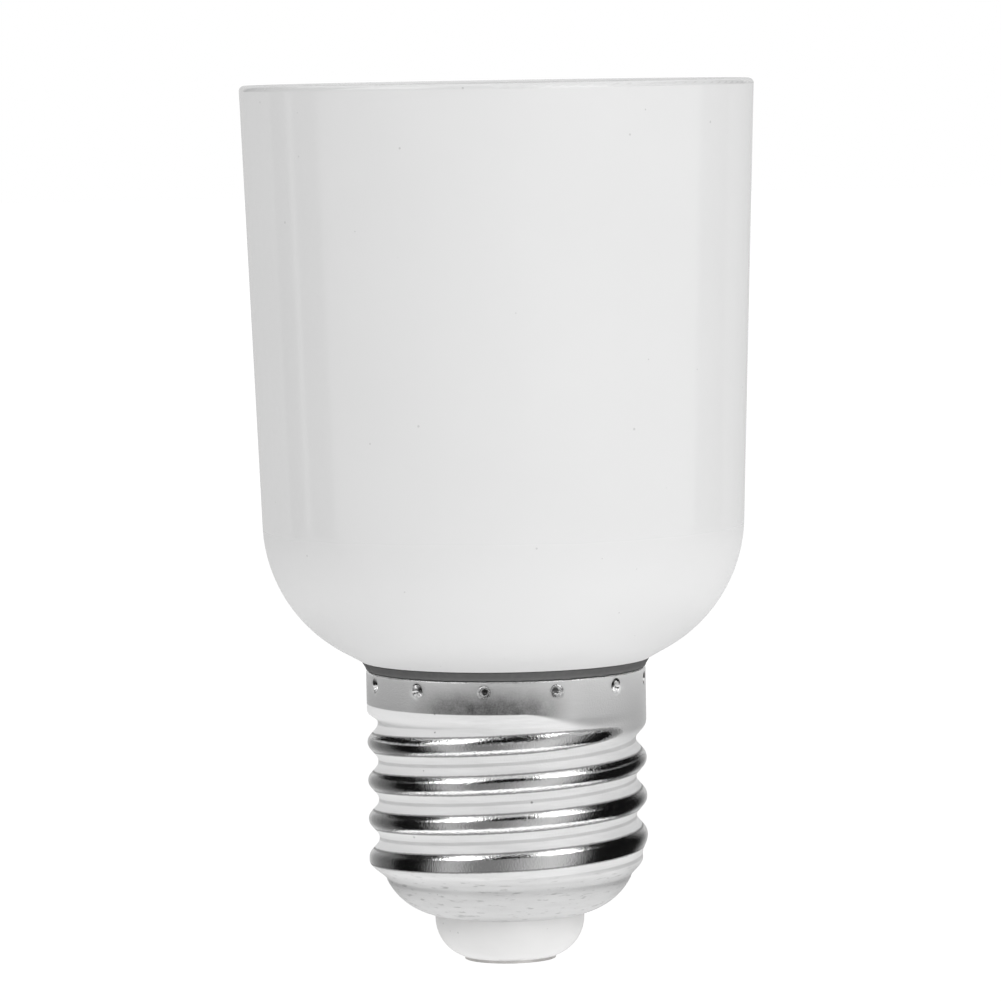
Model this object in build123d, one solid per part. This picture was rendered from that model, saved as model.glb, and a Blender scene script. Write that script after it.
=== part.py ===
from build123d import *
import math
import os

# Lamp socket adapter: a white moulded cup takes an E40 lamp at its mouth and
# screws into an E27 holder by the metal cap crimped on its neck.
# Millimetres. Origin at the centre of the cap's tip contact, +Z up to the mouth.

# E27 screw cap
cap_length = 27.3  # tip face to the cap's top edge
cap_thread_d = 26.3  # over the rolled crests
cap_thread_depth = 1.1
cap_pitch = 3.629
cap_start_angle = 358.0  # direction of the crest where the thread begins
cap_sheet = 0.3
cap_band = 3.7  # plain band above the thread
cap_shoulder_d = 23.0  # where the thread runs out into the shoulder
cap_shoulder = 3.2  # height of the shoulder below the thread
cap_shoulder_radius = 6.0
cap_hole_d = 13.6  # hole in the shoulder that the insulator fills
cap_land = 0.5  # flat ring round that hole
dimple_count = 12
dimple_d = 1.1
dimple_floor_d = 0.4
dimple_depth = 0.45
dimple_drop = 1.15  # below the cap's top edge
dimple_angle = 261.0  # direction of the first dimple

# E27 insulator and tip contact
nose_length = 4.4  # tip face to the cap's shoulder
nose_d = 14.0  # at the shoulder
nose_tip_d = 9.0
nose_bulge = 0.85  # how far the nose's side swells out from a straight cone
collar_d = 18.6  # collar inside the cap
collar_height = 2.2
tip_disc_d = 8.6
tip_disc = 0.3
tip_pin_d = 2.4
tip_pin_rise = 1.6  # above the collar

# Sealing ring between cup and cap
seal_height = 1.1
seal_overhang = 0.35  # beyond the cap's crests
seal_taper = 0.15

# Moulded cup
neck_length = 2.6  # inside the cap
neck_bore_d = 20.4
crimp_groove_width = 1.6
lip_overhang = 0.45  # bowl's lower edge beyond the cap's crests
bowl_angle = 29.0  # bowl's lower slope from level
bowl_radius = 14.0
bowl_wall = 2.8
chamber_height = 9.6  # bowl's lower edge to the carrier's seat
chamber_radius = 4.0
seat_width = 2.2
wall_draft = 2.0
bore_draft = 0.6
rim_wall = 3.0
rim_round = 0.5

# E40 socket
socket_depth = 40.5  # rim to the carrier's top
socket_thread_d = 39.8  # inside the rolled valleys
socket_thread_depth = 1.8
socket_pitch = 6.35
socket_sheet = 0.4
socket_recess = 8.5  # rim to the shell's top edge
socket_foot_band = 3.0  # plain bands below and above the thread
socket_entry_band = 3.5

# Contact carrier
carrier_thickness = 4.0
barrier_d = 24.4  # insulating wall between shell and centre contact
barrier_wall = 1.2
barrier_height = 1.5

# Sprung centre contact
leaf_sheet = 0.4
leaf_width = 6.0
leaf_gap = 1.2  # hairpin bend to the insulating wall
leaf_bend_gap = 2.5
leaf_bend_radius = 1.2
leaf_rivet_x = 6.4
leaf_foot_end = 3.4
leaf_rise = 4.6  # contact pad above the carrier
leaf_pad = 5.2
leaf_lip = 1.2
button_d = 4.8
button_height = 1.0
button_pin_d = 1.9
button_tail_d = 3.0
button_tail = 0.5

# Fasteners, tags and wires
rivet_d = 2.4
rivet_head_d = 4.0
rivet_head = 0.8
screw_d = 2.4
screw_head_d = 5.0
screw_head = 1.6
screw_slot = 0.7
tag_sheet = 0.5
tag_width = 4.4
tag_tip_width = 2.6
wire_d = 1.3
conductor_d = 0.7
wire_strip = 2.0  # bare length at a tag
wire_bow = 2.4  # slack of the centre wire
solder_d = 2.2
solder_height = 0.9

# Clearances
press_fit = 0.02
slide_fit = 0.05
hole_fit = 0.3
seat_fit = 0.3
thread_fade = 0.4  # turns over which a thread runs in or out
thread_sections = 8  # sections per turn of a rolled thread
fillet_limit = 0.9  # most of a side that a fillet may take

# Levels and radii that follow
cap_crest_r = cap_thread_d / 2
cap_bore_r = cap_crest_r - cap_sheet
cap_shoulder_r = cap_shoulder_d / 2
cap_land_r = cap_hole_d / 2 + cap_land
z_thread_start = nose_length + cap_shoulder
z_thread_end = cap_length - cap_band
z_dimple = cap_length - dimple_drop

neck_r = cap_bore_r - slide_fit
neck_bore_r = neck_bore_d / 2
z_neck = cap_length - neck_length
z_lip = cap_length + seal_height
lip_r = cap_crest_r + lip_overhang
z_seat = z_lip + chamber_height
z_floor = z_seat + carrier_thickness
z_rim = z_floor + socket_depth

socket_major_r = socket_thread_d / 2
socket_minor_r = socket_major_r - socket_thread_depth
socket_shell_r = socket_major_r + socket_sheet
z_shell_top = z_rim - socket_recess
cavity_r = socket_shell_r + seat_fit
mouth_r = cavity_r + (z_rim - z_seat) * math.tan(math.radians(bore_draft))
rim_r = mouth_r + rim_wall
chamber_r = cavity_r - seat_width

barrier_r = barrier_d / 2
leaf_bend_x = barrier_r - barrier_wall - leaf_gap
fastener_r = (barrier_r + socket_minor_r) / 2
z_flange = z_floor + socket_sheet
z_tag = z_seat - tag_sheet
wire_leg_r = neck_bore_r - wire_d / 2 - hole_fit

# Slopes of the bowl, outside and inside, as height over radius
slope = math.tan(math.radians(bowl_angle))
draft = math.tan(math.radians(wall_draft))
bowl_rise = bowl_wall / math.cos(math.radians(bowl_angle))


def bowl_inside(radius):
    """Height of the bowl's inner slope at a radius."""
    return z_lip + (radius - lip_r) * slope + bowl_rise


def turned(face):
    """Solid of revolution from a profile of radius and height."""
    return revolve(Plane.XZ * face, Axis.Z)


def ring(outer, inner, low, high):
    """Plain ring or, with no inner radius, a disc between two heights."""
    solid = Pos(0, 0, low) * extrude(Circle(outer), high - low)
    if inner:
        solid -= Pos(0, 0, low) * extrude(Circle(inner), high - low)
    return solid


def post(x, y, radius, low, high):
    """Upright cylinder between two heights."""
    return Pos(x, y, low) * extrude(Circle(radius), high - low)


def rounded(face, corner, radius):
    """Profile with the corner nearest a point rounded."""
    vertex = face.vertices().sort_by_distance((corner[0], corner[1], 0))[0]
    return fillet(vertex, radius)


def rolled_thread(low, high, pitch, angle, foot_r, crest_r, depth, top_r):
    """Right-hand rolled thread: each level section is a circle set off the axis.

    The offset turns once in a pitch, so crest and valley climb as a helix. From the
    plain radius at its foot the thread grows to its full depth, and dies away at its top.
    """
    turns = (high - low) / pitch
    count = round(turns * thread_sections)
    circles = []
    for k in range(count + 1):
        turn = turns * k / count
        run_in = min(turn / thread_fade, 1)
        run_out = min((turns - turn) / thread_fade, 1)
        end_r, share = (foot_r, run_in) if run_in < run_out else (top_r, run_out)
        radius = end_r + (crest_r - depth / 2 - end_r) * share
        offset = depth / 2 * share
        heading = math.radians(angle) + 2 * math.pi * turn
        place = (offset * math.cos(heading), offset * math.sin(heading), low + turn * pitch)
        circles.append(Pos(*place) * Circle(radius))
    return loft(circles, ruled=True)


def make_e27_shell():
    """Rolled sheet metal cap: shoulder with its hole, thread and band with punched dimples."""
    sides = []
    for inset in (0, cap_sheet):
        low = nose_length + inset
        side_r = cap_shoulder_r - inset
        arc_r = cap_shoulder_radius - inset
        shoulder = make_face(
            [
                Line((0, low), (cap_land_r, low)),
                RadiusArc((cap_land_r, low), (side_r, z_thread_start), -arc_r),
                Line((side_r, z_thread_start), (0, z_thread_start)),
                Line((0, z_thread_start), (0, low)),
            ]
        )
        thread = rolled_thread(
            z_thread_start,
            z_thread_end,
            cap_pitch,
            cap_start_angle,
            side_r,
            cap_crest_r - inset,
            cap_thread_depth,
            cap_crest_r - inset,
        )
        sides.append(turned(shoulder) + thread)
    outside, inside = sides
    shell = outside - inside - ring(cap_hole_d / 2, 0, nose_length, nose_length + cap_sheet)

    band = ring(cap_crest_r, cap_bore_r, z_thread_end, cap_length)
    punch_r = dimple_d / 2
    floor_r = dimple_floor_d / 2
    for k in range(dimple_count):
        heading = math.radians(dimple_angle + 360 * k / dimple_count)
        out = Vector(math.cos(heading), math.sin(heading), 0)
        face = Plane(origin=out * cap_crest_r + Vector(0, 0, z_dimple), z_dir=-out)
        edge = Align.CENTER, Align.CENTER, Align.MIN
        nub = Cone(punch_r + cap_sheet, floor_r + cap_sheet / 2, dimple_depth + cap_sheet, align=edge)
        punch = Cone(punch_r, floor_r, dimple_depth, align=edge)
        band += face * nub & ring(cap_crest_r, 0, z_thread_end, cap_length)
        band -= face * punch
    return shell + band


def make_e27_insulator():
    """White nose moulded through the shoulder's hole, with a collar inside the cap."""
    hole_r = cap_hole_d / 2
    nose_r = nose_d / 2
    inside = nose_length + cap_sheet
    top = inside + collar_height
    face = make_face(
        [
            Line((0, tip_disc), (nose_tip_d / 2, tip_disc)),
            SagittaArc((nose_tip_d / 2, tip_disc), (nose_r, nose_length), -nose_bulge),
            Polyline(
                (nose_r, nose_length),
                (hole_r, nose_length),
                (hole_r, inside),
                (cap_land_r, inside),
                (collar_d / 2, top),
                (0, top),
                (0, tip_disc),
            ),
        ]
    )
    return turned(face) - ring(tip_pin_d / 2 + press_fit, 0, tip_disc, top)


def make_e27_tip_contact():
    """Tip disc on a pin through the insulator, hollow at the top for the centre wire."""
    pin_top = nose_length + cap_sheet + collar_height + tip_pin_rise
    pin_r = tip_pin_d / 2
    contact = ring(tip_disc_d / 2, 0, 0, tip_disc) + ring(pin_r, 0, 0, pin_top)
    return contact - ring(conductor_d / 2 + press_fit, 0, pin_top - tip_pin_rise, pin_top)


def make_neck_seal():
    """Dark ring that closes the joint between the cup's lip and the cap's edge."""
    inner = neck_r + slide_fit
    outer = cap_crest_r + seal_overhang
    face = make_face(
        Polyline(
            (inner, cap_length),
            (outer - seal_taper, cap_length),
            (outer, z_lip),
            (inner, z_lip),
            close=True,
        )
    )
    return turned(face)


def make_housing():
    """Cup, bowl and neck in one moulding, with a seat and two bosses for the carrier."""
    corner_z = (z_lip + (rim_r - lip_r - z_rim * draft) * slope) / (1 - draft * slope)
    corner_r = rim_r - (z_rim - corner_z) * draft
    cone = math.hypot(corner_r - lip_r, corner_z - z_lip)
    half_turn = math.radians(90 - bowl_angle - wall_draft) / 2
    outside = make_face(
        Polyline(
            (0, z_rim),
            (rim_r, z_rim),
            (corner_r, corner_z),
            (lip_r, z_lip),
            (neck_r, z_lip),
            (neck_r, z_neck),
            (0, z_neck),
            close=True,
        )
    )
    bowl_round = min(bowl_radius, fillet_limit * cone / math.tan(half_turn))
    outside = rounded(outside, (corner_r, corner_z), bowl_round)

    chamber_corner = bowl_inside(chamber_r)
    inside_turn = math.radians(90 - bowl_angle) / 2
    upright = z_seat - chamber_corner
    inside = make_face(
        Polyline(
            (0, z_rim),
            (mouth_r, z_rim),
            (cavity_r, z_seat),
            (chamber_r, z_seat),
            (chamber_r, chamber_corner),
            (neck_bore_r, bowl_inside(neck_bore_r)),
            (neck_bore_r, z_neck),
            (0, z_neck),
            close=True,
        )
    )
    chamber_round = min(chamber_radius, fillet_limit * upright / math.tan(inside_turn))
    inside = rounded(inside, (chamber_r, chamber_corner), chamber_round)

    wall = outside - inside
    for edge_r in (rim_r, mouth_r):
        wall = rounded(wall, (edge_r, z_rim), rim_round)
    housing = turned(wall)
    boss_r = chamber_r - fastener_r + hole_fit
    for y in (-fastener_r, fastener_r):
        housing += post(0, y, boss_r, z_lip, z_seat) & turned(outside)
        housing -= post(0, y, screw_d / 2 + press_fit, bowl_inside(fastener_r), z_seat)

    groove = crimp_groove_width / 2
    groove_r = cap_crest_r - dimple_depth - cap_sheet - slide_fit
    housing -= ring(cap_crest_r, groove_r, z_dimple - groove, z_dimple + groove)

    slot_floor = cap_bore_r - conductor_d - hole_fit / 2
    slot = Box(
        cap_crest_r - slot_floor,
        conductor_d + hole_fit,
        cap_length - z_neck,
        align=(Align.MIN, Align.CENTER, Align.MIN),
    )
    return housing - Rot(0, 0, 180) * Pos(slot_floor, 0, z_neck) * slot


def make_e40_shell():
    """Rolled sheet metal shell with an in-turned foot that the fasteners hold down."""
    low = z_floor + socket_foot_band
    high = z_shell_top - socket_entry_band
    sides = []
    for outset, foot in ((socket_sheet, z_floor), (0, z_flange)):
        side_r = socket_major_r + outset
        thread = rolled_thread(
            low, high, socket_pitch, 0, side_r, side_r, socket_thread_depth, side_r
        )
        sides.append(ring(side_r, 0, foot, low) + thread + ring(side_r, 0, high, z_shell_top))
    outside, inside = sides
    shell = outside - inside - ring(barrier_r + hole_fit, 0, z_floor, z_flange)
    for y in (-fastener_r, fastener_r):
        shell -= post(0, y, screw_d / 2 + hole_fit, z_floor, z_flange)
    return shell - post(-fastener_r, 0, rivet_d / 2 + press_fit, z_floor, z_flange)


def make_contact_carrier():
    """Insulating disc that carries the shell and the centre contact on the cup's seat."""
    carrier = ring(cavity_r - seat_fit, 0, z_seat, z_floor)
    carrier += ring(barrier_r, barrier_r - barrier_wall, z_floor, z_floor + barrier_height)
    for y in (-fastener_r, fastener_r):
        carrier -= post(0, y, screw_d / 2 + hole_fit, z_seat, z_floor)
    for x in (leaf_rivet_x, -fastener_r):
        carrier -= post(x, 0, rivet_d / 2 + press_fit, z_seat, z_floor)
    return carrier


def make_contact_leaf():
    """Hairpin leaf spring: riveted foot, bend, and an arm that ends in the contact pad."""
    foot = leaf_sheet / 2
    pad = leaf_pad / 2
    path = FilletPolyline(
        (leaf_foot_end, foot),
        (leaf_bend_x, foot),
        (leaf_bend_x, foot + leaf_bend_gap),
        (pad, leaf_rise - foot),
        (-pad, leaf_rise - foot),
        (-pad - leaf_lip, leaf_rise - foot - leaf_lip),
        radius=[leaf_bend_radius, leaf_bend_radius, leaf_bend_radius, leaf_sheet * 2],
    )
    strip = make_face(offset(path, foot, side=Side.BOTH))
    leaf = Pos(0, 0, z_floor) * extrude(Plane.XZ * strip, leaf_width / 2, both=True)
    leaf -= post(leaf_rivet_x, 0, rivet_d / 2 + press_fit, z_floor, z_floor + leaf_sheet)
    return leaf - post(0, 0, button_pin_d / 2 + press_fit, z_floor + leaf_sheet * 2, z_floor + leaf_rise)


def make_contact_button():
    """Domed contact riveted through the leaf's pad; a lamp presses it down."""
    top = z_floor + leaf_rise
    under = top - leaf_sheet
    head = button_d / 2
    crown = button_height / 2
    dome = make_face(
        [
            Line((0, top), (head, top)),
            Line((head, top), (head, top + crown)),
            RadiusArc((head, top + crown), (0, top + button_height), -(head**2 + crown**2) / (2 * crown)),
            Line((0, top + button_height), (0, top)),
        ]
    )
    pin = ring(button_pin_d / 2, 0, under, top)
    return turned(dome) + pin + ring(button_tail_d / 2, 0, under - button_tail, under)


def make_contact_rivets():
    """Two like rivets: one holds the leaf, one the shell, each with a tag below."""
    head = rivet_head_d / 2
    face = make_face(
        [
            Line((0, 0), (head, 0)),
            RadiusArc((head, 0), (0, rivet_head), -(head**2 + rivet_head**2) / (2 * rivet_head)),
            Line((0, rivet_head), (0, 0)),
        ]
    )
    dome = turned(face)
    solids = []
    for x, sheet in ((leaf_rivet_x, leaf_sheet), (-fastener_r, socket_sheet)):
        rivet = Pos(x, 0, z_floor + sheet) * dome
        rivet += post(x, 0, rivet_d / 2, z_tag, z_floor + sheet)
        rivet += Pos(x, 0, z_tag) * Rot(180, 0, 0) * dome
        solids.append(rivet)
    return Compound(children=solids)


def make_carrier_screws():
    """Two slotted screws through the shell's foot and the carrier into the cup's bosses."""
    tip = bowl_inside(fastener_r) + hole_fit
    solids = []
    for y in (-fastener_r, fastener_r):
        screw = post(0, y, screw_head_d / 2, z_flange, z_flange + screw_head)
        screw = fillet(screw.edges().sort_by(Axis.Z)[-1], screw_head / 2)
        slot = Box(screw_head_d, screw_slot, screw_head / 2, align=(Align.CENTER, Align.CENTER, Align.MAX))
        screw -= Pos(0, y, z_flange + screw_head) * slot
        shank = post(0, y, screw_d / 2, tip, z_flange)
        solids.append(screw + chamfer(shank.edges().sort_by(Axis.Z)[0], screw_d / 4))
    return Compound(children=solids)


def make_tag(rivet_x, wire_x):
    """Solder tag under the carrier, from a rivet to the hole that a wire comes up through."""
    eye = tag_width / 2
    tip = tag_tip_width / 2
    outline = Pos(rivet_x, 0) * Circle(eye) + Pos(wire_x, 0) * Circle(tip)
    reach = abs(wire_x - rivet_x)
    outline += Pos((rivet_x + wire_x) / 2, 0) * Rectangle(reach, tag_tip_width)
    outline -= Pos(rivet_x, 0) * Circle(rivet_d / 2 + press_fit)
    outline -= Pos(wire_x, 0) * Circle(conductor_d / 2 + press_fit)
    return Pos(0, 0, z_tag) * extrude(outline, tag_sheet)


def make_solder_joints():
    """Solder round each wire where it enters its tag."""
    hole = conductor_d / 2 + press_fit
    face = make_face(
        Polyline(
            (hole, 0),
            (solder_d / 2, 0),
            (hole + solder_height / 4, -solder_height),
            (hole, -solder_height),
            close=True,
        )
    )
    bead = turned(face)
    return Compound(children=[Pos(x, 0, z_tag) * bead for x in (0, -wire_leg_r)])


def make_live_wire():
    """Insulated wire from the centre contact's tag down to the tip contact."""
    low = nose_length + cap_sheet + collar_height
    strip_low = low + tip_pin_rise + wire_strip / 2
    strip_high = z_tag - wire_strip
    run = (strip_high - strip_low) / 4
    path = FilletPolyline(
        (0, 0, strip_high),
        (0, 0, strip_high - run),
        (0, wire_bow, strip_low + 2 * run),
        (0, 0, strip_low + run),
        (0, 0, strip_low),
        radius=run,
    )
    wire = sweep(Pos(0, 0, strip_high) * Circle(wire_d / 2), path=path)
    wire += post(0, 0, conductor_d / 2, strip_high, z_seat)
    return wire + post(0, 0, conductor_d / 2, low, strip_low)


def make_shell_wire():
    """Insulated wire from the shell's tag, its bare end folded up between neck and cap."""
    outer_leg = cap_bore_r - conductor_d / 2 - press_fit
    bend = (outer_leg - wire_leg_r) / 2
    turn = z_neck + hole_fit
    end = z_dimple
    path = Wire(
        [
            Edge.make_line((-wire_leg_r, 0, z_seat), (-wire_leg_r, 0, turn)),
            Edge.make_three_point_arc(
                (-wire_leg_r, 0, turn),
                (-wire_leg_r - bend, 0, turn - bend),
                (-outer_leg, 0, turn),
            ),
            Edge.make_line((-outer_leg, 0, turn), (-outer_leg, 0, end)),
        ]
    )
    wire = sweep(Pos(-wire_leg_r, 0, z_seat) * Circle(conductor_d / 2), path=path)
    return wire + post(-wire_leg_r, 0, wire_d / 2, z_neck + wire_strip, z_tag - wire_strip)


parts = {
    "housing": make_housing(),
    "neck_seal": make_neck_seal(),
    "e27_shell": make_e27_shell(),
    "e27_insulator": make_e27_insulator(),
    "e27_tip_contact": make_e27_tip_contact(),
    "e40_shell": make_e40_shell(),
    "contact_carrier": make_contact_carrier(),
    "contact_leaf": make_contact_leaf(),
    "contact_button": make_contact_button(),
    "contact_rivets": make_contact_rivets(),
    "carrier_screws": make_carrier_screws(),
    "live_tag": make_tag(leaf_rivet_x, 0),
    "shell_tag": make_tag(-fastener_r, -wire_leg_r),
    "solder_joints": make_solder_joints(),
    "live_wire": make_live_wire(),
    "shell_wire": make_shell_wire(),
}

os.makedirs("parts", exist_ok=True)
for name, part in parts.items():
    export_step(part, f"parts/{name}.step")
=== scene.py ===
import math
import random

import bpy
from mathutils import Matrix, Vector


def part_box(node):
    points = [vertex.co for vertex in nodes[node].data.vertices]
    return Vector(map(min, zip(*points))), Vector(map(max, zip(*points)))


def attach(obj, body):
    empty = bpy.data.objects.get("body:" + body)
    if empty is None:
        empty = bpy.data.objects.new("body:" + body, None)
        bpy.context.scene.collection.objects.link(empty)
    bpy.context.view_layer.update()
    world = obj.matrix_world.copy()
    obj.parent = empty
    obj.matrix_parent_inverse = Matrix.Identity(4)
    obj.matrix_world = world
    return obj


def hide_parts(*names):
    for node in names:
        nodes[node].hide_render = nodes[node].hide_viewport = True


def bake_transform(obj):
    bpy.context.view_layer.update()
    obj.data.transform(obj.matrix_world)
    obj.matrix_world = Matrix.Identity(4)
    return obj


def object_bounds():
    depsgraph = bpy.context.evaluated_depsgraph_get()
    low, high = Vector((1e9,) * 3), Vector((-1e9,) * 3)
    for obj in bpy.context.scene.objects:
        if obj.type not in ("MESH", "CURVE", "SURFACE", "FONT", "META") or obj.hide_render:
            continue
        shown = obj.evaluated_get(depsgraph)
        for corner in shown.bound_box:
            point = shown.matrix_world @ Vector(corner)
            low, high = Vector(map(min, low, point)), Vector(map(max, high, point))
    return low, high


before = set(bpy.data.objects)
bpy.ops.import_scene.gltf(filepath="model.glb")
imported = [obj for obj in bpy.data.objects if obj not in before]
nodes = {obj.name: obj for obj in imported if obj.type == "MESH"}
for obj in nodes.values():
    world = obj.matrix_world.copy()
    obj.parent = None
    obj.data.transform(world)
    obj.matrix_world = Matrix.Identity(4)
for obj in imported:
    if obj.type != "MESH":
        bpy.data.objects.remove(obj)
cad_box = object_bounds()


# Tip contact
# A tinned brass disc on a hollow pin that is pressed through the white nose.
# The holder's centre spring has rubbed its face.
class Socket:
    """A shader socket that stands in a sum: each operator adds its own Math node."""

    def __init__(self, tree, socket):
        self.tree = tree
        self.socket = socket

    def node(self, kind, output, inputs, stops=(), **settings):
        """Adds a node, sets it up, fills or links its inputs and gives one of its outputs."""
        made = self.tree.nodes.new(kind)
        for name, setting in settings.items():
            setattr(made, name, setting)
        for k, (place, tone) in enumerate(stops):
            stop = made.color_ramp.elements[k] if k < 2 else made.color_ramp.elements.new(place)
            stop.position = place
            stop.color = grey(tone)
        for name, value in inputs.items():
            if isinstance(value, Socket):
                self.tree.links.new(value.socket, made.inputs[name])
            else:
                made.inputs[name].default_value = value
        return Socket(self.tree, made.outputs[output])

    def also(self, output):
        """Another output of the same node."""
        return Socket(self.tree, self.socket.node.outputs[output])

    def into(self, shader, name):
        """Links the value to one of the shader's inputs."""
        self.tree.links.new(self.socket, shader.inputs[name])

    def sum(self, operation, first, second):
        """A Math node on two values."""
        return self.node("ShaderNodeMath", "Value", {0: first, 1: second}, operation=operation)

    def __add__(self, other):
        return self.sum("ADD", self, other)

    def __radd__(self, other):
        return self.sum("ADD", other, self)

    def __sub__(self, other):
        return self.sum("SUBTRACT", self, other)

    def __rsub__(self, other):
        return self.sum("SUBTRACT", other, self)

    def __mul__(self, other):
        return self.sum("MULTIPLY", self, other)

    def __rmul__(self, other):
        return self.sum("MULTIPLY", other, self)

    def step(self, low, high):
        """0 below low, 1 above high and smooth between them."""
        ends = {"Value": self, "From Min": low, "From Max": high}
        return self.node("ShaderNodeMapRange", "Result", ends, interpolation_type="SMOOTHSTEP")

    def mix(self, first, second):
        """A colour between two greys or colours, by this value."""
        return self.node("ShaderNodeMix", 2, {0: self, 6: first, 7: second}, data_type="RGBA")

    def stretched(self, x, y, z):
        """Coordinates stretched along each axis, for a pattern that runs one way."""
        return self.node("ShaderNodeVectorMath", 0, {0: self, 1: (x, y, z)}, operation="MULTIPLY")

    def noise(self, size, detail=2.0):
        """Soft clouds about as large as size, from 0 to 1."""
        inputs = {"Vector": self, "Scale": 1 / size, "Detail": detail}
        return self.node("ShaderNodeTexNoise", 0, inputs)

    def specks(self, spacing, size, share):
        """1 on small scattered dots: one cell in a few, as share says, holds a dot."""
        dot = self.node("ShaderNodeTexVoronoi", "Distance", {"Vector": self, "Scale": 1 / spacing})
        chance = self.node("ShaderNodeSeparateColor", "Red", {"Color": dot.also("Color")})
        reach = chance.step(1 - share, 1) * (size / spacing)
        return self.node("ShaderNodeMath", "Value", {0: dot, 1: reach}, operation="LESS_THAN")

    def bump(self, height, strength):
        """A normal that follows a height given in metres."""
        return self.node(
            "ShaderNodeBump", "Normal", {"Height": height, "Distance": 1.0, "Strength": strength}
        )


def finish(name, **constants):
    """A new material with its shader's constant sockets set, and the piece's own coordinates."""
    material = bpy.data.materials.new(name)
    material.use_nodes = True
    tree = material.node_tree
    shader = tree.nodes["Principled BSDF"]
    for socket, value in constants.items():
        shader.inputs[socket.replace("_", " ")].default_value = value
    where = Socket(tree, tree.nodes.new("ShaderNodeTexCoord").outputs["Object"])
    return material, shader, where


def grey(tone, warm=0.0):
    """A grey, or with some warmth a yellowish one."""
    return (tone, tone * (1 - warm / 2), tone * (1 - warm), 1.0)


def dress(node, material):
    """Gives a CAD node its finish."""
    nodes[node].data.materials.clear()
    nodes[node].data.materials.append(material)


mm = 0.001

tinned, shader, where = finish("tinned_brass", Metallic=0.7)
rubbed = where.stretched(1, 1, 0).noise(0.5 * mm)
rubbed.mix(grey(0.6, 0.05), grey(0.74, 0.05)).into(shader, "Base Color")
(0.36 + 0.2 * rubbed).into(shader, "Roughness")
where.bump(where.noise(0.15 * mm) * (0.004 * mm), 1.0).into(shader, "Normal")
dress("e27_tip_contact", tinned)


# White nose
# Heat-proof insulator moulded through the hole in the cap's shoulder.
# Satin, with a few dark specks and a patchy darker line along its lower edge.
nose_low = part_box("e27_insulator")[0]
nose_material, shader, where = finish("white_nose", Specular_IOR_Level=0.4)
height = where.node("ShaderNodeSeparateXYZ", "Z", {"Vector": where})
clouds = where.noise(3 * mm, 3.0)
dots = where.specks(0.7 * mm, 0.1 * mm, 0.12)
foot = 1 - height.step(nose_low.z + 0.05 * mm, nose_low.z + 0.4 * mm)
foot_line_and_specks = foot * where.noise(1.2 * mm).step(0.4, 0.6) * 0.2 + dots * 0.4
foot_line_and_specks.mix(clouds.mix(grey(0.645, 0.01), grey(0.69, 0.01)), grey(0.2)).into(shader, "Base Color")
(0.3 + 0.15 * clouds).into(shader, "Roughness")
where.bump(where.noise(0.4 * mm) * (0.01 * mm), 0.6).into(shader, "Normal")
dress("e27_insulator", nose_material)


# Screw cap
# Drawn sheet brass, nickel plated. The thread is rolled into the drawn blank, which
# burnishes its crests; twelve punch marks crimp the plain band on the cup's neck.
cap_low, cap_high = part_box("e27_shell")
cap = {
    "crest_r": cap_high.x,
    "top": cap_high.z + 0.25 * mm,
    "low": cap_low.z,
    "hole_r": 6.8 * mm,
    "land": 0.5 * mm,
    "shoulder": 3.2 * mm,
    "shoulder_r": 11.5 * mm,
    "shoulder_round": 6.0 * mm,
    "sheet": 0.3 * mm,
    "pitch": 3.629 * mm,
    "depth": 1.0 * mm,
    "crest_round": 0.95 * mm,
    "start_turn": 324 / 360,
    "thread_top": 23.8 * mm,
}


def arc(centre, radius, start, end, steps):
    """Points of a round stretch of outline, with angles in degrees from outwards to upwards."""
    for k in range(steps + 1):
        angle = math.radians(start + (end - start) * k / steps)
        yield centre[0] + radius * math.cos(angle), centre[1] + radius * math.sin(angle)


def rows(start, end, spacing):
    """Points on a straight stretch of outline, evenly spaced and without its start."""
    run = math.dist(start, end)
    count = math.ceil(run / spacing)
    for k in range(1, count + 1):
        share = k / count
        yield tuple(a + (b - a) * share for a, b in zip(start, end))


def drawn_out(name, outline):
    """A new piece, left in edit mode: a point is drawn along an outline across and up."""
    bpy.ops.object.select_all(action="DESELECT")
    bpy.ops.mesh.primitive_plane_add(size=mm)
    piece = bpy.context.object
    piece.name = name
    bpy.ops.object.mode_set(mode="EDIT")
    bpy.ops.mesh.select_mode(type="VERT")
    bpy.ops.mesh.merge(type="CENTER")
    place = (0.0, 0.0)
    for k, (radius, height) in enumerate(outline):
        move = {"value": (radius - place[0], 0, height - place[1])}
        if k == 0:
            bpy.ops.transform.translate(**move)
        else:
            bpy.ops.mesh.extrude_region_move(TRANSFORM_OT_translate=move)
        place = radius, height
    bpy.ops.mesh.select_all(action="SELECT")
    return piece


def spun(name, outline, steps):
    """A turned piece: its outline of radius and height is spun all round."""
    piece = drawn_out(name, outline)
    bpy.ops.mesh.spin(steps=steps, angle=2 * math.pi, center=(0, 0, 0), axis=(0, 0, 1))
    bpy.ops.mesh.select_all(action="SELECT")
    bpy.ops.mesh.remove_doubles(threshold=0.001 * mm)
    bpy.ops.mesh.normals_make_consistent(inside=False)
    bpy.ops.object.mode_set(mode="OBJECT")
    return piece


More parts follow.
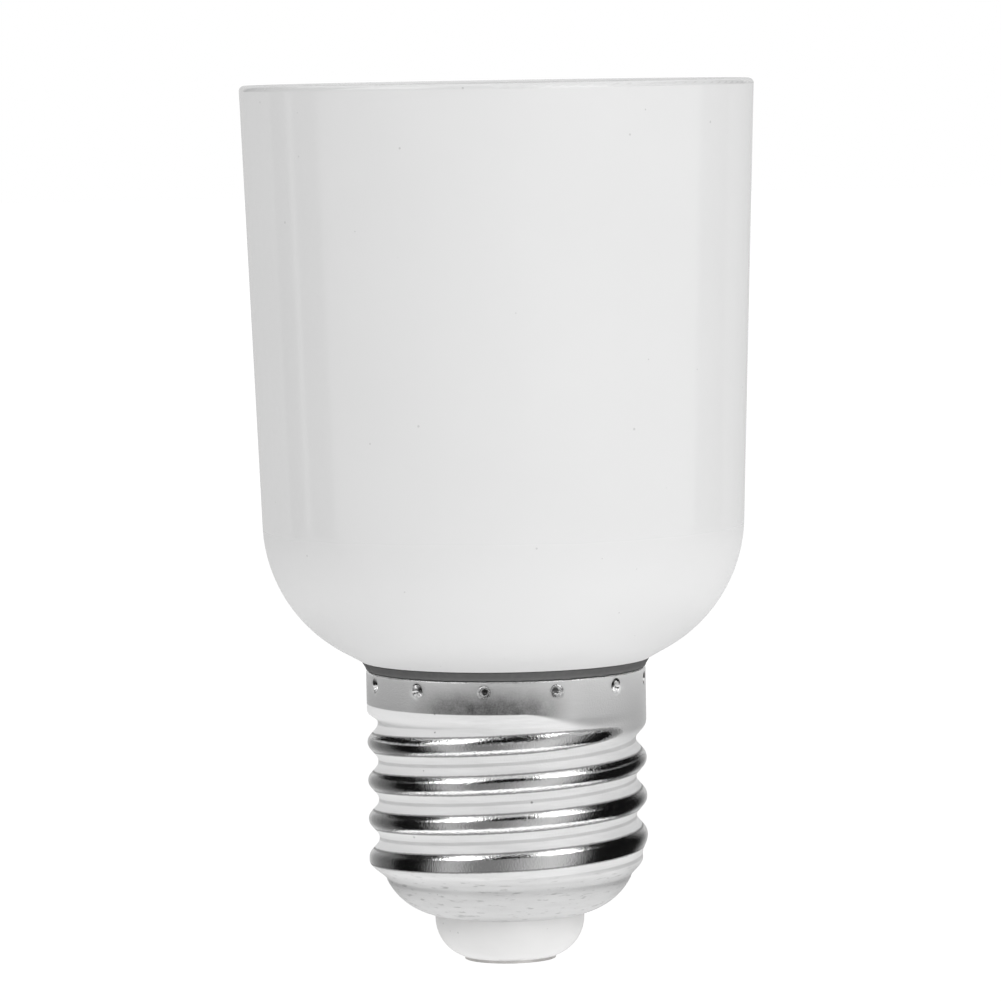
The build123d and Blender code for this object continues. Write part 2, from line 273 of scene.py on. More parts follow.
def rolled(turn, pitch, depth, crest_round, flank=42):
    """How far a rolled thread lies below its crest, at a share of a turn from the crest.

    Round crest, straight flank and round valley run into each other.
    """
    slope = math.radians(flank)
    rounds = (pitch / 2 * math.tan(slope) - depth) / (1 / math.cos(slope) - 1)
    valley_round = rounds - crest_round
    along = abs((turn + 0.5) % 1 - 0.5) * pitch
    valley = pitch / 2 - along
    if along < crest_round * math.sin(slope):
        return crest_round - math.sqrt(crest_round**2 - along**2)
    if valley < valley_round * math.sin(slope):
        return depth - valley_round + math.sqrt(valley_round**2 - valley**2)
    fall = crest_round * (1 - math.cos(slope))
    return fall + (along - crest_round * math.sin(slope)) * math.tan(slope)


def eased(share):
    """0 to 1 with a smooth start and end."""
    share = min(max(share, 0.0), 1.0)
    return share * share * (3 - 2 * share)


def add_wall(piece, thickness):
    """Turns a skin into sheet of a thickness, on the inner side if it is below 0."""
    wall = piece.modifiers.new("sheet", "SOLIDIFY")
    wall.thickness = abs(thickness)
    wall.offset = math.copysign(1, thickness)
    wall.use_even_offset = True
    bpy.context.view_layer.objects.active = piece
    bpy.ops.object.modifier_apply(modifier=wall.name)


def smooth(piece, angle):
    """Smooth shading, with edges sharper than an angle left crisp."""
    bpy.ops.object.select_all(action="DESELECT")
    piece.select_set(True)
    bpy.context.view_layer.objects.active = piece
    bpy.ops.object.shade_smooth_by_angle(angle=math.radians(angle))


steps_round = 240
thread_foot = cap["low"] + cap["shoulder"]
thread_lead = 0.2 * mm
thread_rows = 0.18 * mm
band_rows = 0.2 * mm
edge_round = 0.26 * mm
land = Vector((cap["hole_r"] + cap["land"], cap["low"]))
slope = Vector((cap["shoulder_r"], thread_foot)) - land
inward = Vector((-slope.y, slope.x)).normalized()
shoulder_rise = math.sqrt(cap["shoulder_round"] ** 2 - slope.length_squared / 4)
shoulder_centre = land + slope / 2 + inward * shoulder_rise
first, last = (
    math.degrees(math.atan2(*(end - shoulder_centre).yx)) for end in (land, land + slope)
)
blank = [(cap["hole_r"], cap["low"])]
blank += arc(shoulder_centre, cap["shoulder_round"], first, last, 16)
blank.append((cap["crest_r"], thread_foot + thread_lead))
blank += rows(blank[-1], (cap["crest_r"], cap["thread_top"]), thread_rows)
blank += rows(blank[-1], (cap["crest_r"], cap["top"] - edge_round), band_rows)
blank += arc((cap["crest_r"] - edge_round, cap["top"] - edge_round), edge_round, 15, 75, 4)
screw_cap = spun("screw_cap", blank, steps_round)

# Finer faces where the punch marks go; reach, edge and flank are in mark radii
mark_count = 12
mark_turn = 261 / 360
mark_height = cap["top"] - 1.15 * mm
mark_r = 0.75 * mm
mark_reach = 1.17
mark_edge = 0.3
mark_flank = 0.8
mark_depth = 0.48 * mm
mark_sunk = 0.03 * mm
painted_shade_lift = 0.1 * mm


def mark_offset(place, lift=0.0):
    """Distance of a point on the band from the middle of the nearest punch mark, in mark radii."""
    turn = math.atan2(place.y, place.x) / (2 * math.pi)
    share = ((turn - mark_turn) * mark_count + 0.5) % 1 - 0.5
    along = share / mark_count * 2 * math.pi * cap["crest_r"]
    return math.hypot(along, place.z - mark_height - lift) / mark_r


bpy.ops.object.mode_set(mode="EDIT")
bpy.ops.mesh.select_mode(type="FACE")
bpy.ops.mesh.select_all(action="DESELECT")
bpy.ops.object.mode_set(mode="OBJECT")
for face in screw_cap.data.polygons:
    face.select = mark_offset(face.center) < mark_reach
bpy.ops.object.mode_set(mode="EDIT")
bpy.ops.mesh.subdivide(number_cuts=3)
bpy.ops.object.mode_set(mode="OBJECT")

# The thread is rolled in and the marks are punched; the top edge keeps its ragged burr.
# Groove and polish start and run out by turns up the thread.
burr_height = 0.012 * mm
burr = random.Random(7)
burr_waves = [(burr.randint(9, 70), burr.uniform(0, 2 * math.pi)) for k in range(9)]
thread_turns = (cap["thread_top"] - thread_foot) / cap["pitch"]
fade = 0.3
lift_turns = 0.52
groove_start = 0.24
groove_grow = 0.7
groove_end = 4.6
groove_fade = 0.4
polish_grow = 0.8
polish_end = 4.13
polish_fade = 0.27
crests = []
dents = []
for vertex in screw_cap.data.vertices:
    place = vertex.co
    crest = 0.0
    turn = math.atan2(place.y, place.x) / (2 * math.pi)
    if thread_foot < place.z < cap["thread_top"]:
        turns = (place.z - thread_foot) / cap["pitch"]
        lifted = eased(turns / lift_turns)
        grown = eased(turns / polish_grow)
        around = turns - turn + cap["start_turn"]
        depth = rolled(around, cap["pitch"], cap["depth"], cap["crest_round"])
        to_groove = math.floor(around) + 0.5 - around
        to_crest = round(around) - around
        share = eased((thread_turns - turns) / fade)
        share *= eased((turns + to_groove - groove_start) / groove_grow)
        share *= eased((groove_end - turns - to_groove) / groove_fade)
        radius = cap["crest_r"] - depth * share - (cap["crest_r"] - cap["shoulder_r"]) * (1 - lifted)
        polished = grown * eased((polish_end - turns - to_crest) / polish_fade)
        crest = (1 - depth / cap["depth"]) * polished
        place.xy *= radius / place.xy.length
    offset = mark_offset(place)
    # The dent disc sits a little above each mark's middle, placing the painted shade and the polish in
    # it.
    dents.append(max(1 - mark_offset(place, painted_shade_lift), 0.0))
    if offset < mark_reach:
        sunk = mark_sunk * eased((mark_reach - offset) / mark_edge)
        dent = mark_depth * eased((1.0 - offset) / mark_flank)
        place.xy *= 1 - (dent + sunk) / cap["crest_r"]
    if place.z > cap["top"] - edge_round:
        ragged = sum(math.sin(count * turn * 2 * math.pi + start) for count, start in burr_waves)
        place.z -= burr_height * abs(ragged)
    crests.append(crest)
for name, values in (("crest", crests), ("dent", dents)):
    attribute = screw_cap.data.attributes.new(name, "FLOAT", "POINT")
    attribute.data.foreach_set("value", values)
add_wall(screw_cap, -cap["sheet"])
smooth(screw_cap, 40)

nickel, shader, where = finish("nickel_plate")
crest = where.node("ShaderNodeAttribute", "Fac", {}, attribute_name="crest")
dent = where.node("ShaderNodeAttribute", "Fac", {}, attribute_name="dent")
height = where.node("ShaderNodeSeparateXYZ", "Z", {"Vector": where})
grain = where.noise(0.16 * mm, 1.0)
drawn = where.stretched(1, 1, 12).noise(1.6 * mm, 3.0)
turned_lines = where.stretched(0.12, 0.12, 1).noise(0.45 * mm, 3.0)
groove_line = 1 - crest.step(0.004, 0.03)
crest = crest + (grain - 0.5) * 0.14
polish = crest.step(0.54, 0.6)
# A darker line along each edge of the polished crests.
polish_edge_line = crest.step(0.43, 0.52) * (1 - crest.step(0.56, 0.65))
band_foot = cap["top"] - 3.2 * mm
across = where.node("ShaderNodeSeparateXYZ", "X", {"Vector": where})
right = across.step(0.1 * cap["crest_r"], 1.1 * cap["crest_r"])
left = 1 - across.step(-cap["crest_r"], -0.1 * cap["crest_r"])
band_edge = height + right * (2.2 * mm)
band = band_edge.step(band_foot - right * (2.6 * mm), band_foot + 0.12 * mm)
edge = height.step(cap["top"] - 0.24 * mm, cap["top"] - 0.16 * mm)
shoulder = 1 - height.step(thread_foot + 0.6 * mm, thread_foot + 2.2 * mm)
scuff = where.stretched(1, 1, 5).noise(1.3 * mm, 5.0).step(0.57, 0.7) * shoulder
# Painted shade in the upper part of each punch mark; its lower part is left bright.
painted_dent_shade = dent.step(0.5, 0.75)
dots = where.specks(1.1 * mm, 0.13 * mm, 0.15)
threaded = height.step(thread_foot + mm, thread_foot + 2 * mm)
threaded = threaded * (1 - height.step(band_foot - 1.6 * mm, band_foot - mm))
# Painted shade along the bottom of each thread groove.
painted_groove_shade = groove_line * threaded
# Painted reflection: the plain band is darkened in patches where it faces the lens, standing in for
# the dark room seen in the metal.
painted_reflection_turn = math.radians(-98)
painted_reflection_heading = (math.cos(painted_reflection_turn), math.sin(painted_reflection_turn), 0)
facing = where.node(
    "ShaderNodeVectorMath", "Value", {0: where, 1: painted_reflection_heading}, operation="DOT_PRODUCT"
)
stain_and_painted_reflection = facing.step(cap["crest_r"] * 0.8, cap["crest_r"]) * band
stain_and_painted_reflection = stain_and_painted_reflection * (1 - height.step(band_foot + 0.5 * mm, band_foot + 3.3 * mm))
stain_and_painted_reflection = stain_and_painted_reflection * (where.noise(1.4 * mm, 5.0) * 0.8 + (grain - 0.5) * 0.4 + 0.4)
# Darkening: real scuffs and specks, the polish-edge line, painted shade in the punch marks and groove
# bottoms, and a painted reflection where the band faces the lens.
darkening = polish_edge_line * 0.7 + scuff * 0.35 + dots * 0.5 + painted_dent_shade * 0.9
darkening = darkening + painted_groove_shade * (0.12 + 0.3 * drawn) + stain_and_painted_reflection * 0.95
smoothed = (polish + edge + dent.step(0.05, 0.2)).step(0, 1)
# Painted reflection on the plain band: lighter at the right side, and somewhat at the left, than in
# its middle.
band_painted_sheen = (right + left * 0.5).mix(drawn.mix(grey(0.5), grey(0.6)), grey(0.84))
satin_tone = (turned_lines * 0.6 + drawn * 0.4).step(0.3, 0.7).mix(grey(0.7), grey(0.78))
# Painted light: the thread's flanks are lighter on the left side.
satin_tone = (left * (1 - shoulder)).mix(satin_tone, grey(0.93))
# Painted shade: the shoulder is given a darker tone with its turned lines.
satin_tone = (shoulder * 0.8).mix(satin_tone, turned_lines.mix(grey(0.47), grey(0.57)))
plate = smoothed.mix(band.mix(satin_tone, band_painted_sheen), grey(0.86))
# The top edge's near-white tone is a painted highlight.
darkening.mix(edge.mix(plate, grey(0.95)), grey(0.06)).into(shader, "Base Color")
(0.12 + (band * 0.48 + shoulder * 0.45) * (1 - smoothed) + smoothed * 0.88).into(shader, "Metallic")
satin = 0.4 + 0.14 * drawn - band * 0.08
(satin + smoothed * (0.13 - satin) + grain * 0.08).into(shader, "Roughness")
relief = grain * (0.03 * mm) + drawn * (0.004 * mm) + turned_lines * (0.012 * mm)
where.bump(relief, 0.8).into(shader, "Normal")
screw_cap.data.materials.append(nickel)
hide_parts("e27_shell")
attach(screw_cap, "adapter")


# Sealing ring
# Dark elastic ring squeezed between the cup's lip and the cap's edge. Matt, with a butt
# joint that shows at the left as a darker nick.
ring_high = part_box("neck_seal")[1]
ring_in = 12.85 * mm
ring_taper = 0.3 * mm
ring_round = 0.18 * mm
ring_lean = 8
foot_r = ring_high.x - ring_taper
ring_foot = cap["top"]
ring_outline = [(ring_in, ring_foot)]
ring_outline += arc((foot_r - ring_round, ring_foot + ring_round), ring_round, -90, ring_lean, 5)
ring_outline += arc((ring_high.x - ring_round, ring_high.z - ring_round), ring_round, ring_lean, 90, 5)
ring_outline += [(ring_in, ring_high.z), ring_outline[0]]
sealing_ring = spun("sealing_ring", ring_outline, 256)
joint_turn = 196 / 360
joint_half = 0.4 * mm
joint_depth = 0.18 * mm
for vertex in sealing_ring.data.vertices:
    turn = math.atan2(vertex.co.y, vertex.co.x) / (2 * math.pi)
    gap = abs((turn - joint_turn + 0.5) % 1 - 0.5) * 2 * math.pi * ring_high.x
    if vertex.co.xy.length > ring_in + ring_round:
        vertex.co.xy *= 1 - joint_depth * (1 - eased(gap / joint_half)) / ring_high.x
smooth(sealing_ring, 50)

elastic, shader, where = finish("dark_elastic", Specular_IOR_Level=0.35)
height = where.node("ShaderNodeSeparateXYZ", "Z", {"Vector": where})
dust = where.noise(0.5 * mm, 4.0)
pale_foot = 1 - height.step(ring_foot, ring_foot + 0.4 * mm)
tone = dust.mix(grey(0.07), grey(0.115))
(pale_foot * 0.3).mix(tone, grey(0.2)).into(shader, "Base Color")
(0.5 + 0.3 * dust).into(shader, "Roughness")
where.bump(where.noise(0.2 * mm) * (0.012 * mm), 0.7).into(shader, "Normal")
sealing_ring.data.materials.append(elastic)
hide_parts("neck_seal")
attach(sealing_ring, "adapter")


# Cup
# Glossy white moulding: cup, bowl and neck in one piece. Its skin has faint flow lines,
# a fine grain and a scatter of dark specks. The rim's edge is chipped a little, and the
# bowl is duller than the straight wall.
cup_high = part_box("housing")[1]
white, shader, where = finish("white_moulding", Specular_IOR_Level=0.5)
height = where.node("ShaderNodeSeparateXYZ", "Z", {"Vector": where})
flow = where.stretched(1, 1, 0.06).noise(1.4 * mm, 3.0)
clouds = where.noise(9 * mm, 3.0)
grain = where.noise(0.35 * mm, 2.0)
large_dots = where.specks(4.2 * mm, 0.16 * mm, 0.4)
fine_dots = where.specks(1.5 * mm, 0.12 * mm, 0.16)
rim = height.step(cup_high.z - 0.7 * mm, cup_high.z - 0.1 * mm)
chips = rim * where.noise(0.5 * mm, 3.0).step(0.66, 0.72)
tone = clouds.mix(grey(0.672), grey(0.696))
darkening = large_dots * 0.35 + fine_dots * 0.3 + chips * 0.12
darkening.mix(tone, grey(0.22)).into(shader, "Base Color")
bowl = 1 - height.step(cup_high.z - 44 * mm, cup_high.z - 40 * mm)
(0.1 + 0.06 * clouds + chips * 0.25 + bowl * 0.4).into(shader, "Roughness")
relief = flow * (0.006 * mm) + grain * (0.0012 * mm)
where.bump(relief, 0.5).into(shader, "Normal")
dress("housing", white)


# Contact carrier
# Insulating disc that lies on the cup's seat, with a low wall round the centre contact.
# Plain cream moulding, duller than the cup.
cream, shader, where = finish("cream_moulding", Specular_IOR_Level=0.4)
clouds = where.noise(4 * mm, 4.0)
dots = where.specks(1.6 * mm, 0.14 * mm, 0.1)
(dots * 0.5).mix(clouds.mix(grey(0.62, 0.1), grey(0.7, 0.07)), grey(0.25)).into(shader, "Base Color")
(0.4 + 0.2 * clouds).into(shader, "Roughness")
where.bump(where.noise(0.3 * mm) * (0.015 * mm), 0.6).into(shader, "Normal")
dress("contact_carrier", cream)


# Lamp shell
# Drawn brass, nickel plated inside and out, with the lamp's coarse thread rolled in and
# its foot turned in over the carrier. Lamps have rubbed its crests bright.
socket_low, socket_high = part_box("e40_shell")
socket = {
    "sheet": 0.4 * mm,
    "valley_r": socket_high.x - 0.4 * mm,
    "pitch": 6.35 * mm,
    "depth": 1.8 * mm,
    "crest_round": 1.55 * mm,
    "thread_low": socket_low.z + 3.0 * mm,
    "thread_top": socket_high.z - 3.5 * mm,
    "foot_r": 12.5 * mm,
    "fade": 0.3,
}
foot_bend = 0.5 * mm
foot_top = socket_low.z + socket["sheet"]
inside = [(socket["foot_r"], foot_top)]
inside += rows(inside[-1], (socket["valley_r"] - foot_bend, foot_top), 1.0 * mm)
inside += arc((socket["valley_r"] - foot_bend, foot_top + foot_bend), foot_bend, -75, 0, 5)
inside += rows(inside[-1], (socket["valley_r"], socket["thread_low"]), 0.5 * mm)
inside += rows(inside[-1], (socket["valley_r"], socket["thread_top"]), 0.26 * mm)
inside += rows(inside[-1], (socket["valley_r"], socket_high.z), 0.5 * mm)
lamp_shell = spun("lamp_shell", inside, steps_round)
socket_turns = (socket["thread_top"] - socket["thread_low"]) / socket["pitch"]
crests = []
for vertex in lamp_shell.data.vertices:
    place = vertex.co
    crest = 0.0
    if socket["thread_low"] < place.z < socket["thread_top"]:
        turn = math.atan2(place.y, place.x) / (2 * math.pi)
        turns = (place.z - socket["thread_low"]) / socket["pitch"]
        depth = rolled(turns - turn, socket["pitch"], socket["depth"], socket["crest_round"])
        share = eased(turns / socket["fade"]) * eased((socket_turns - turns) / socket["fade"])
        crest = depth / socket["depth"] * share
        place.xy *= (socket["valley_r"] - depth * share) / place.xy.length
    crests.append(crest)
attribute = lamp_shell.data.attributes.new("crest", "FLOAT", "POINT")
attribute.data.foreach_set("value", crests)
bpy.ops.object.mode_set(mode="EDIT")
bpy.ops.mesh.select_all(action="SELECT")
bpy.ops.mesh.flip_normals()
bpy.ops.object.mode_set(mode="OBJECT")
add_wall(lamp_shell, -socket["sheet"])
smooth(lamp_shell, 40)

worn_plate, shader, where = finish("worn_plate", Metallic=1.0)
crest = where.node("ShaderNodeAttribute", "Fac", {}, attribute_name="crest")
rub = crest.step(0.45, 0.9) * where.noise(3 * mm, 2.0).step(0.15, 0.75)
grain = where.noise(0.15 * mm, 1.0)
drawn = where.stretched(1, 1, 10).noise(2 * mm, 3.0)
tone = drawn.mix(grey(0.58, 0.04), grey(0.68, 0.04))
(rub * 0.7).mix(tone, grey(0.82, 0.08)).into(shader, "Base Color")
(0.34 + 0.1 * drawn - rub * 0.05).into(shader, "Roughness")
where.bump(grain * (0.004 * mm) + drawn * (0.005 * mm), 0.8).into(shader, "Normal")
lamp_shell.data.materials.append(worn_plate)
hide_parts("e40_shell")
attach(lamp_shell, "adapter")


# Contact leaf
# Hairpin of springy bronze strip: its foot is riveted down, its arm carries the contact.
# The arm bends down when a lamp presses.
leaf_low, leaf_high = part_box("contact_leaf")
leaf = {
    "sheet": 0.4 * mm,
    "bend": 1.2 * mm,
    "bend_gap": 2.5 * mm,
    "foot_end": 3.4 * mm,
    "pad": 2.6 * mm,
    "lip": 1.2 * mm,
    "lip_round": 0.8 * mm,
}


def rounded(corners, radii, steps):
    """An outline whose inner corners are arcs of the given radii."""
    yield corners[0]
    for before, corner, after, radius in zip(corners, corners[1:], corners[2:], radii):
        middle = Vector(corner)
        back = (Vector(before) - middle).normalized()
        onward = (Vector(after) - middle).normalized()
        half = back.angle(onward) / 2
        centre = middle + (back + onward).normalized() * radius / math.sin(half)
        start = middle + back * radius / math.tan(half) - centre
        sweep = start.angle_signed(middle + onward * radius / math.tan(half) - centre)
        for k in range(steps + 1):
            turn = -sweep * k / steps
            across = start.x * math.cos(turn) - start.y * math.sin(turn)
            up = start.x * math.sin(turn) + start.y * math.cos(turn)
            yield centre.x + across, centre.y + up
    yield corners[-1]


half_sheet = leaf["sheet"] / 2
foot_level = leaf_low.z + half_sheet
pad_level = leaf_high.z - half_sheet
bend_x = leaf_high.x - half_sheet
corners = [
    (leaf["foot_end"], foot_level),
    (bend_x, foot_level),
    (bend_x, foot_level + leaf["bend_gap"]),
    (leaf["pad"], pad_level),
    (-leaf["pad"], pad_level),
    (-leaf["pad"] - leaf["lip"], pad_level - leaf["lip"]),
]
radii = [leaf["bend"], leaf["bend"], leaf["bend"], leaf["lip_round"]]
leaf_spring = drawn_out("leaf_spring", list(rounded(corners, radii, 8)))
bpy.ops.mesh.subdivide(number_cuts=3)
bpy.ops.transform.translate(value=(0, leaf_low.y, 0))
width = leaf_high.y - leaf_low.y
bpy.ops.mesh.extrude_region_move(TRANSFORM_OT_translate={"value": (0, width, 0)})
bpy.ops.mesh.select_all(action="SELECT")
bpy.ops.mesh.normals_make_consistent(inside=False)
bpy.ops.object.mode_set(mode="OBJECT")
strip = leaf_spring.modifiers.new("strip", "SOLIDIFY")
strip.thickness = leaf["sheet"]
strip.offset = 0
strip.use_even_offset = True
bpy.ops.object.modifier_apply(modifier=strip.name)
edges = leaf_spring.modifiers.new("edges", "BEVEL")
edges.width = 0.05 * mm
edges.segments = 2
edges.limit_method = "ANGLE"
edges.angle_limit = math.radians(50)
bpy.ops.object.modifier_apply(modifier=edges.name)
smooth(leaf_spring, 40)

bronze, shader, where = finish("spring_bronze", Metallic=1.0)
rolled_lines = where.stretched(0.3, 6, 1).noise(1.5 * mm, 3.0)
tarnish = where.noise(2 * mm, 4.0).step(0.45, 0.75)
tone = rolled_lines.mix((0.62, 0.42, 0.22, 1), (0.74, 0.54, 0.3, 1))
(tarnish * 0.6).mix(tone, (0.36, 0.24, 0.14, 1)).into(shader, "Base Color")
(0.24 + 0.12 * rolled_lines + 0.15 * tarnish).into(shader, "Roughness")
where.bump(rolled_lines * (0.005 * mm), 0.7).into(shader, "Normal")
leaf_spring.data.materials.append(bronze)
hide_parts("contact_leaf")
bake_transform(leaf_spring)


# Centre contact, rivets and screws
# Turned brass contact, tinned where the lamp touches it; two brass rivets; two plated
# steel screws with slotted heads.
dress("contact_button", tinned)

brass, shader, where = finish("rivet_brass", Metallic=1.0)
stain_and_painted_reflection = where.noise(0.8 * mm, 4.0)
stain_and_painted_reflection.mix((0.58, 0.42, 0.2, 1), (0.78, 0.62, 0.34, 1)).into(shader, "Base Color")
(0.22 + 0.22 * stain_and_painted_reflection).into(shader, "Roughness")
where.bump(where.noise(0.2 * mm) * (0.008 * mm), 0.7).into(shader, "Normal")
dress("contact_rivets", brass)

steel, shader, where = finish("plated_steel", Metallic=1.0)
turned_lines = where.noise(0.3 * mm, 3.0)
turned_lines.mix(grey(0.48), grey(0.62)).into(shader, "Base Color")
(0.26 + 0.18 * turned_lines).into(shader, "Roughness")
where.bump(turned_lines * (0.006 * mm), 0.7).into(shader, "Normal")
dress("carrier_screws", steel)


# Tags, solder and wires
# Punched brass tags under the carrier, each soldered to a wire that runs down to the cap.
# They are closed in behind the carrier.
dress("live_tag", brass)
dress("shell_tag", brass)

solder, shader, where = finish("solder", Metallic=1.0)
frost = where.noise(0.25 * mm, 3.0)
frost.mix(grey(0.5), grey(0.64)).into(shader, "Base Color")
(0.25 + 0.25 * frost).into(shader, "Roughness")
where.bump(frost * (0.02 * mm), 0.7).into(shader, "Normal")
dress("solder_joints", solder)

for node, dark, pale in (
    ("live_wire", (0.1, 0.045, 0.025, 1), (0.15, 0.07, 0.04, 1)),
    ("shell_wire", (0.03, 0.07, 0.2, 1), (0.05, 0.1, 0.27, 1)),
):
    sleeve, shader, where = finish(node + "_sleeve")
    clouds = where.noise(1.5 * mm, 3.0)
    clouds.mix(dark, pale).into(shader, "Base Color")
    (0.35 + 0.2 * clouds).into(shader, "Roughness")
    where.bump(where.noise(0.3 * mm) * (0.01 * mm), 0.6).into(shader, "Normal")
    dress(node, sleeve)


# Floor and studio
# A pale floor far below the held part, even light from all round, a key light at the right,
# and softboxes and cards that only reflections see, as a photographer flags bright metal.
floor_level = -0.3
floor_size = 30
floor_tone = 0.9
floor_glow = 0.3
floor_seen = 0.08

bpy.ops.object.select_all(action="DESELECT")
bpy.ops.mesh.primitive_plane_add(size=floor_size, location=(0, 0, floor_level))
floor = bpy.context.object
floor.name = "floor"
paper = bpy.data.materials.new("pale_floor")
paper.use_nodes = True
tree = paper.node_tree
tree.nodes.clear()
here = Socket(tree, tree.nodes.new("ShaderNodeLightPath").outputs["Is Camera Ray"])
seen = here + here.also("Is Glossy Ray") + here.also("Is Transmission Ray")
matt = here.node("ShaderNodeBsdfDiffuse", "BSDF", {"Color": grey(floor_tone)})
strength = floor_glow + seen * floor_seen
glow = here.node("ShaderNodeEmission", "Emission", {"Color": grey(1.0), "Strength": strength})
upper_side = here.node("ShaderNodeAddShader", "Shader", {0: matt, 1: glow})
underside = here.node("ShaderNodeNewGeometry", "Backfacing", {})
clear = here.node("ShaderNodeBsdfTransparent", "BSDF", {})
both_sides = here.node("ShaderNodeMixShader", "Shader", {0: underside, 1: upper_side, 2: clear})
both_sides.into(tree.nodes.new("ShaderNodeOutputMaterial"), "Surface")
floor.data.materials.append(paper)

world_light = 0.74
world_seen = 0.26
world = bpy.data.worlds.new("studio")
bpy.context.scene.world = world
world.use_nodes = True
tree = world.node_tree
backdrop = tree.nodes["Background"]
here = Socket(tree, tree.nodes.new("ShaderNodeLightPath").outputs["Is Camera Ray"])
seen = here + here.also("Is Glossy Ray") + here.also("Is Transmission Ray")
(world_light + seen.step(0, 1) * world_seen).into(backdrop, "Strength")
backdrop.inputs["Color"].default_value = grey(1.0)

centre = Vector((0, 0, 0.04))
lamp_distance = 0.7


def toward(azimuth, elevation, distance):
    """A place round the part: azimuth 0 is the photograph's viewer, 90 the right."""
    turn = math.radians(azimuth)
    rise = math.radians(elevation)
    level = Vector((math.sin(turn), -math.cos(turn), 0)) * math.cos(rise)
    return centre + (level + Vector((0, 0, math.sin(rise)))) * distance


for name, azimuth, elevation, width, tall, radiance, mirrored in (
    ("key", 34, 8, 0.6, 0.6, 1.22, False),
    ("fill", 180, 10, 0.6, 0.6, 0.8, False),
    ("top", 0, 88, 0.6, 0.6, 1.3, False),
    ("upper_left", -60, 45, 0.42, 0.42, 1.6, True),
    ("upper_right", 52, 45, 0.34, 0.42, 1.6, True),
):
    lamp = bpy.data.lights.new(name, "AREA")
    lamp.shape = "RECTANGLE"
    lamp.size = width
    lamp.size_y = tall
    lamp.energy = radiance * math.pi * width * tall
    softbox = bpy.data.objects.new(name, lamp)
    softbox.location = toward(azimuth, elevation, lamp_distance)
    softbox.rotation_mode = "QUATERNION"
    softbox.rotation_quaternion = (centre - softbox.location).to_track_quat("-Z", "Y")
    softbox.visible_glossy = mirrored
    softbox.visible_diffuse = not mirrored
    bpy.context.scene.collection.objects.link(softbox)


def show_in_reflections(card):
    """Hides a card from everything but reflections."""
    for rays in ("camera", "diffuse", "transmission", "shadow"):
        setattr(card, "visible_" + rays, False)


def card_paper(name, glow):
    """Card that shows one even tone."""
    material = bpy.data.materials.new(name)
    material.use_nodes = True
    shader = material.node_tree.nodes["Principled BSDF"]
    shader.inputs["Base Color"].default_value = grey(0.0)
    shader.inputs["Specular IOR Level"].default_value = 0.0
    shader.inputs["Emission Color"].default_value = grey(1.0)
    shader.inputs["Emission Strength"].default_value = glow
    return material, shader


def stand_card(name, material, start, end, low, high):
    """An upright card between two places on the floor plan."""
    bpy.ops.object.select_all(action="DESELECT")
    bpy.ops.mesh.primitive_plane_add(size=1)
    card = bpy.context.object
    card.name = name
    for vertex in card.data.vertices:
        across = start if vertex.co.x < 0 else end
        vertex.co = Vector((across[0], across[1], low if vertex.co.y < 0 else high))
    card.data.materials.append(material)
    show_in_reflections(card)


black_card = card_paper("black_card", 0.0)[0]
dark_card = card_paper("dark_card", 0.4)[0]
grey_card = card_paper("grey_card", 0.45)[0]
pale_card = card_paper("pale_card", 0.62)[0]
beside = 0.165
side_top = 0.08
high_top = 0.28
wall_foot = 0.09
stand_card("left_front_card", dark_card, (-beside, -0.025), (-beside, 0.022), 0.0, side_top)
stand_card("left_back_card", dark_card, (-beside, 0.034), (-beside, 0.08), 0.0, side_top)
stand_card("right_card", dark_card, (beside, 0.02), (beside, 0.1), 0.0, side_top)
stand_card("lens_card", black_card, (-0.2, -0.3), (0.16, -0.3), 0.1, 0.9)
stand_card("low_card", dark_card, (-0.1, -0.2), (0.07, -0.2), -0.28, -0.09)
stand_card("back_wall", pale_card, (-0.8, 0.5), (0.8, 0.5), -0.28, 0.5)
for name, side in (("left", -1), ("right", 1)):
    front = (beside * side, -0.045)
    back = (beside * side, 0.3)
    stand_card(name + "_high_card", black_card, front, back, side_top, high_top)
    near = (0.109 * side, -0.437)
    middle = (0.301 * side, -0.334)
    far = (0.428 * side, -0.139)
    stand_card(name + "_near_wall", grey_card, near, middle, wall_foot, high_top)
    stand_card(name + "_far_wall", grey_card, middle, far, wall_foot, high_top)

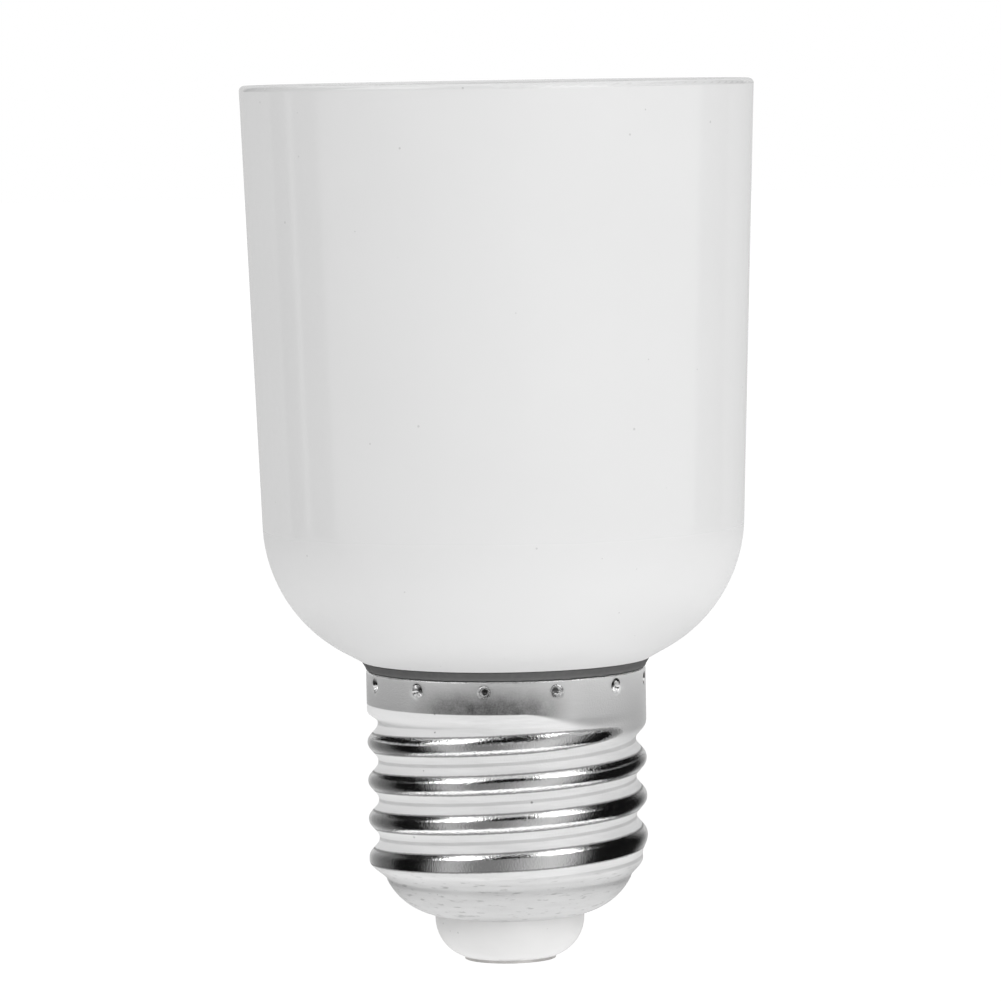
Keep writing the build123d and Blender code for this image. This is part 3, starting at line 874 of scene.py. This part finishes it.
# The collar stands close round the cap: dark before the lens, grey in front, black beside
collar_r = 0.028
collar_tall = 0.0305
collar_middle = 0.00925
collar_back = 0.019
collar_tones = (
    (-90, 0.0),
    (-60, 0.0),
    (-52, 0.16),
    (-42, 0.48),
    (-32, 0.4),
    (-23, 0.2),
    (-6, 0.2),
    (3, 0.32),
    (16, 0.52),
    (28, 0.66),
    (41, 0.46),
    (56, 0.0),
    (112, 0.0),
    (125, 0.3),
    (240, 0.3),
    (255, 0.12),
)
bpy.ops.object.select_all(action="DESELECT")
bpy.ops.mesh.primitive_cylinder_add(
    vertices=96,
    radius=collar_r,
    depth=collar_tall,
    end_fill_type="NOTHING",
    location=(0, 0, collar_middle),
)
collar = bpy.context.object
collar.name = "collar"
bpy.ops.object.mode_set(mode="EDIT")
bpy.ops.mesh.select_mode(type="FACE")
bpy.ops.mesh.select_all(action="DESELECT")
bpy.ops.object.mode_set(mode="OBJECT")
for face in collar.data.polygons:
    face.select = face.center.y > collar_back
bpy.ops.object.mode_set(mode="EDIT")
bpy.ops.mesh.delete(type="FACE")
bpy.ops.object.mode_set(mode="OBJECT")
collar_paper, shader = card_paper("collar_paper", 1.0)
tree = collar_paper.node_tree
here = Socket(tree, tree.nodes.new("ShaderNodeTexCoord").outputs["Object"])
round_share = here.node("ShaderNodeTexGradient", "Fac", {"Vector": here}, gradient_type="RADIAL")
stops = [(0.25 + azimuth / 360, tone) for azimuth, tone in collar_tones]
tone = here.node("ShaderNodeValToRGB", "Color", {"Fac": round_share}, stops=stops)
tone.into(shader, "Emission Color")
collar.data.materials.append(collar_paper)
show_in_reflections(collar)


# Camera
# Just above the rim and a little over half a metre away, tipped down to the part's middle.
photo_width = 1001
focal_pixels = 6085
camera_distance = 0.57
camera_rise = 0.0035
camera_tip = 4.29
camera_roll = -0.95
camera_side = -0.00024
lens = bpy.data.cameras.new("photo_view")
lens.sensor_width = 36
lens.lens = focal_pixels / photo_width * lens.sensor_width
lens.clip_start = 0.01
camera = bpy.data.objects.new("photo_view", lens)
camera.location = (camera_side, -camera_distance, cad_box[1].z + camera_rise)
camera.rotation_euler = (math.radians(90 - camera_tip), 0, 0)
camera.rotation_euler.rotate_axis("Z", math.radians(camera_roll))
bpy.context.scene.collection.objects.link(camera)
bpy.context.scene.camera = camera

bpy.context.scene.view_settings.view_transform = "Standard"
